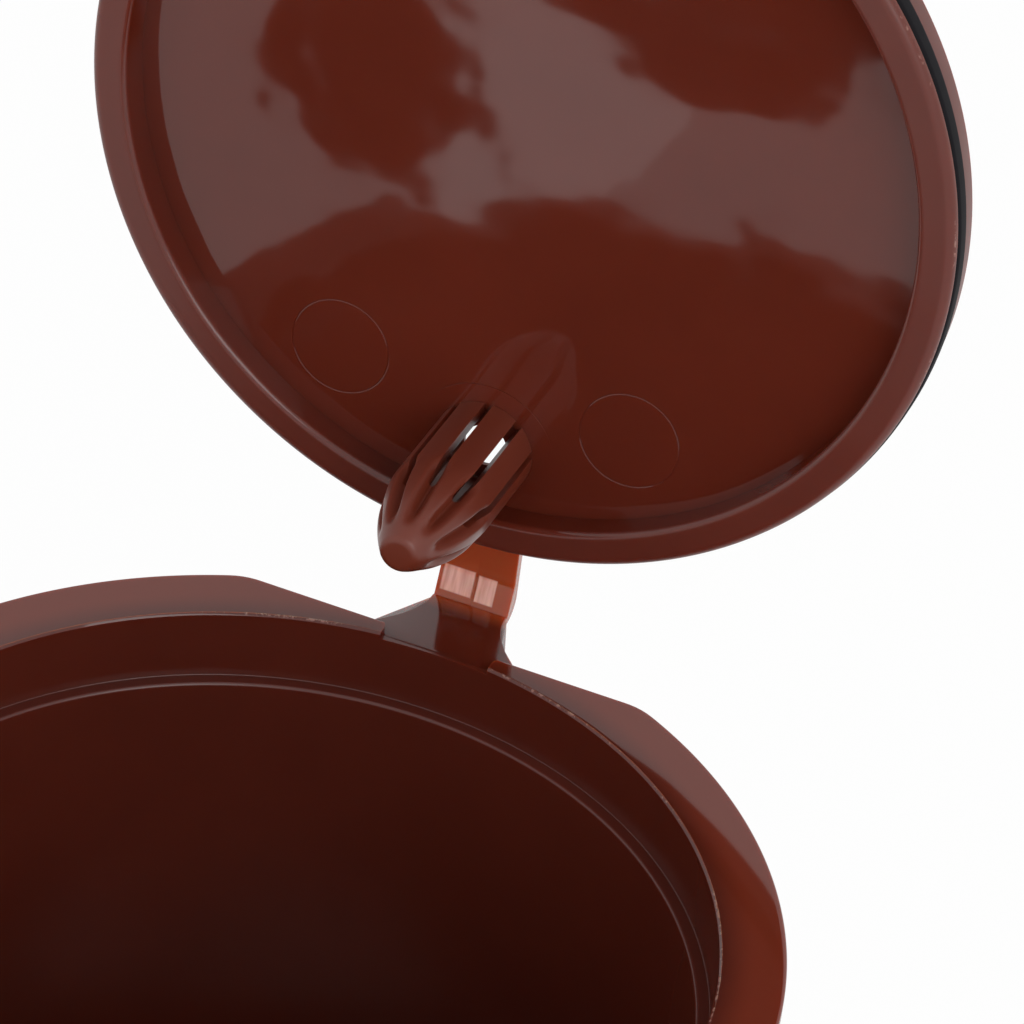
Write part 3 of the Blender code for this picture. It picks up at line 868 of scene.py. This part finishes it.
finishes = {
    "cupPolypropylene": {
        "light": "5E2418", "dark": "501D13", "roughness": 0.05, "waves": 0.025, "glow": 0.45,
        # painted glow: the flange is made warmer towards its edge, standing for light through the
        # thin flange
        "paintedGlow": {"round": True, "start": 23.5, "end": 25.5, "colour": "782F1D"},
        "satin": {"polished": 35.85, "dull": 35.5, "roughness": 0.27},
        # its paleness is partly a painted highlight along the mouth's edge
        "wearAndGlint": {"place": Matrix.Identity(4), "radius": 23.66, "height": flangeTop, "width": 0.13,
                 "amount": -0.01, "colour": "96695D"}},
    "lidPolypropylene": {
        "light": "6C2A1C", "dark": "5D2317", "roughness": 0.06, "waves": 0.24, "glow": 0.6,
        "satin": {"place": lidPlace, "polished": 21.55, "dull": 21.85, "roughness": 0.38},
        # its paleness is partly a painted highlight along the rim's outer edge
        "wearAndGlint": {"place": lidPlace, "radius": 23.4, "height": 0.3, "width": 0.1,
                 "amount": -0.06, "colour": "9A746A"}},
    "nozzlePolypropylene": {
        "light": "75311F", "dark": "66291A", "roughness": 0.36, "waves": 0.01, "glow": 0.15},
    "strapPolypropylene": {
        "light": "5A2116", "dark": "501C13", "roughness": 0.1, "waves": 0.01, "glow": 0.8,
        # painted glow: the strap's leaf is made orange, standing for light coming through it
        "paintedGlow": {"round": False, "start": 27.2, "end": 28.6, "colour": "A04822"},
        # painted highlight: pale boxes on the facets above the crease
        "paintedHighlights": {"colour": "ECC4B6", "boxes": [
            ((-1.95, 28.3, 35.85), (-0.08, 29.6, 37.3)),
            ((0.08, 28.3, 35.75), (1.2, 29.6, 37.22))]}},
}

cupPlastic, lidPlastic, nozzlePlastic, strapPlastic = [
    mouldedPolypropylene(name, **finishes[name]) for name in finishes]
blackRubber = siliconeRubber("siliconeRubber")
steelWire = drawnSteelWire("drawnSteelWire")

# piece, material, slot, body, the CAD node it stands for
dressing = [
    (capsuleCup, cupPlastic, "brown_plastic", "cup", "capsule_cup"),
    (filterRing, cupPlastic, "brown_plastic", "cup", "filter_ring"),
    (filterMesh, steelWire, "steel_mesh", "cup", "filter_mesh"),
    (hingedLid, lidPlastic, "brown_plastic", "lid", "hinged_lid"),
    (inletNozzle, nozzlePlastic, "brown_plastic", "lid", "inlet_nozzle"),
    (lidSealRing, blackRubber, "black_rubber", "lid", "lid_seal_ring"),
]
for piece, material, slotName, body, node in dressing:
    piece.data.materials.clear()
    piece.data.materials.append(material)
    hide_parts(node)
    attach(piece, body)
hingeStrap.data.materials.clear()
hingeStrap.data.materials.append(strapPlastic)
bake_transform(hingeStrap)
print("pieces dressed:", len(dressing) + 1)


# studio: pale floor, even white surroundings, one soft lamp, and the camera

studio = {
    "floorSize": 4.0, "floorColour": "F2F2F2", "floorGlow": 0.97,       # floor's size in metres
    "standRadius": 19, "shadowRadius": 44,      # between these the floor's glow fades in: it shows the cup's shadow, and a painted shade darkens it all round the cup
    "skyLow": 1.2, "skyHigh": 0.3,              # brighter at eye level than overhead
    "key": {"power": 1.8, "size": 0.5,          # watts and metres
            "place": (0.5, -0.45, 0.5), "aim": (0, 0.01, 0.05)},
    "cards": {                                  # painted reflection: sheets on the floor that only reflections show, mirrored in the lid's disc as dark and pale patches
        "paleReflectionSheet": {"place": (-46, -132, 0.2), "half": (49, 14), "turn": 76, "light": 1.5},
        "darkReflectionSheet": {"place": (-58, -105, 0.4), "half": (23, 10), "turn": 68, "light": 0.0},
        "farDarkReflectionSheet": {"place": (-35, -162, 0.4), "half": (30, 19), "turn": 89, "light": 0.0}},
}


def seenDirectly(tree):
    # 1 where the picture, a reflection or a clear piece shows the surroundings themselves
    rays = addNode(tree, "ShaderNodeLightPath")
    seen = addNode(tree, "ShaderNodeMath", {
        0: rays.outputs["Is Camera Ray"], 1: rays.outputs["Is Glossy Ray"]}, operation="MAXIMUM")
    return addNode(tree, "ShaderNodeMath", {
        0: seen.outputs[0], 1: rays.outputs["Is Transmission Ray"]}, operation="MAXIMUM").outputs[0]


def layFloor():
    s = studio
    startFresh()
    bpy.ops.mesh.primitive_plane_add(size=s["floorSize"])
    floor = bpy.context.object
    floor.name = "studioFloor"
    material, tree = newMaterial("paleFloor")
    place = addNode(tree, "ShaderNodeTexCoord").outputs["Object"]
    away = addNode(tree, "ShaderNodeVectorMath", {0: place}, operation="LENGTH")
    clear = addNode(tree, "ShaderNodeMapRange", {       # no glow under the cup, where it is dark; the slow rise after it is a painted shade round the cup
        "Value": away.outputs["Value"], "From Min": s["standRadius"] * mm,
        "From Max": s["shadowRadius"] * mm, "To Max": s["floorGlow"]})
    share = addNode(tree, "ShaderNodeMath", {
        0: seenDirectly(tree), 1: clear.outputs["Result"]}, operation="MULTIPLY")
    paper = addNode(tree, "ShaderNodeBsdfDiffuse", {"Color": hexColour(s["floorColour"])})
    white = addNode(tree, "ShaderNodeEmission", {"Color": (1, 1, 1, 1), "Strength": 1.0})
    both = addNode(tree, "ShaderNodeMixShader", {
        0: share.outputs[0], 1: paper.outputs[0], 2: white.outputs[0]})
    addNode(tree, "ShaderNodeOutputMaterial", {"Surface": both.outputs[0]})
    floor.data.materials.append(material)


def lightStudio():
    s = studio
    world = bpy.data.worlds.new("studioSky")
    bpy.context.scene.world = world
    world.use_nodes = True
    tree = world.node_tree
    tree.nodes.clear()
    way = addNode(tree, "ShaderNodeTexCoord").outputs["Generated"]
    upright = addNode(tree, "ShaderNodeSeparateXYZ", {"Vector": way})
    light = addNode(tree, "ShaderNodeMapRange", {
        "Value": upright.outputs["Z"], "To Min": s["skyLow"], "To Max": s["skyHigh"]})
    strength = addNode(tree, "ShaderNodeMapRange", {
        "Value": seenDirectly(tree), "To Min": light.outputs["Result"], "To Max": 1.0})
    sky = addNode(tree, "ShaderNodeBackground", {
        "Color": (1, 1, 1, 1), "Strength": strength.outputs["Result"]})
    addNode(tree, "ShaderNodeOutputWorld", {"Surface": sky.outputs[0]})

    lamp = s["key"]
    bpy.ops.object.light_add(type="AREA", location=lamp["place"])
    key = bpy.context.object
    key.name = "softKey"
    key.data.energy = lamp["power"]
    key.data.size = lamp["size"]
    aim = Vector(lamp["aim"]) - Vector(lamp["place"])
    key.rotation_euler = aim.to_track_quat("-Z", "Y").to_euler()


def layCards():
    # painted reflection: plain ovals on the floor that only reflections show
    for name, card in studio["cards"].items():
        startFresh()
        bpy.ops.mesh.primitive_circle_add(
            vertices=64, radius=mm, fill_type="NGON", location=Vector(card["place"]) * mm,
            rotation=(0, 0, math.radians(card["turn"])))
        sheet = bpy.context.object
        sheet.name = name
        sheet.scale = (*card["half"], 1)
        material, tree = newMaterial(name)
        glow = addNode(tree, "ShaderNodeEmission", {
            "Color": (1, 1, 1, 1), "Strength": card["light"]})
        addNode(tree, "ShaderNodeOutputMaterial", {"Surface": glow.outputs[0]})
        sheet.data.materials.append(material)
        sheet.visible_camera = sheet.visible_diffuse = sheet.visible_shadow = False
        sheet.visible_transmission = False


layFloor()
lightStudio()
layCards()
print("studio set up")

cameraView = {"azimuth": 18.543, "elevation": 36.954, "distance": 290.025, "roll": 6.746,
              "target": (3.066, 24.5, 45.706), "lens": 196.31, "sensor": 36}


def placeCamera():
    v = cameraView
    azimuth, elevation = math.radians(v["azimuth"]), math.radians(v["elevation"])
    back = Vector((math.sin(azimuth) * math.cos(elevation),
                   -math.cos(azimuth) * math.cos(elevation), math.sin(elevation)))
    bpy.ops.object.camera_add()
    camera = bpy.context.object
    camera.name = "photoCamera"
    camera.data.sensor_width = v["sensor"]
    camera.data.lens = v["lens"]
    camera.data.clip_start = 0.01
    camera.rotation_mode = "QUATERNION"
    camera.location = (Vector(v["target"]) + back * v["distance"]) * mm
    camera.rotation_quaternion = ((-back).to_track_quat("-Z", "Y")
                                  @ Quaternion((0, 0, 1), math.radians(v["roll"])))
    bpy.context.scene.camera = camera


placeCamera()
bpy.context.scene.view_settings.view_transform = "Standard"
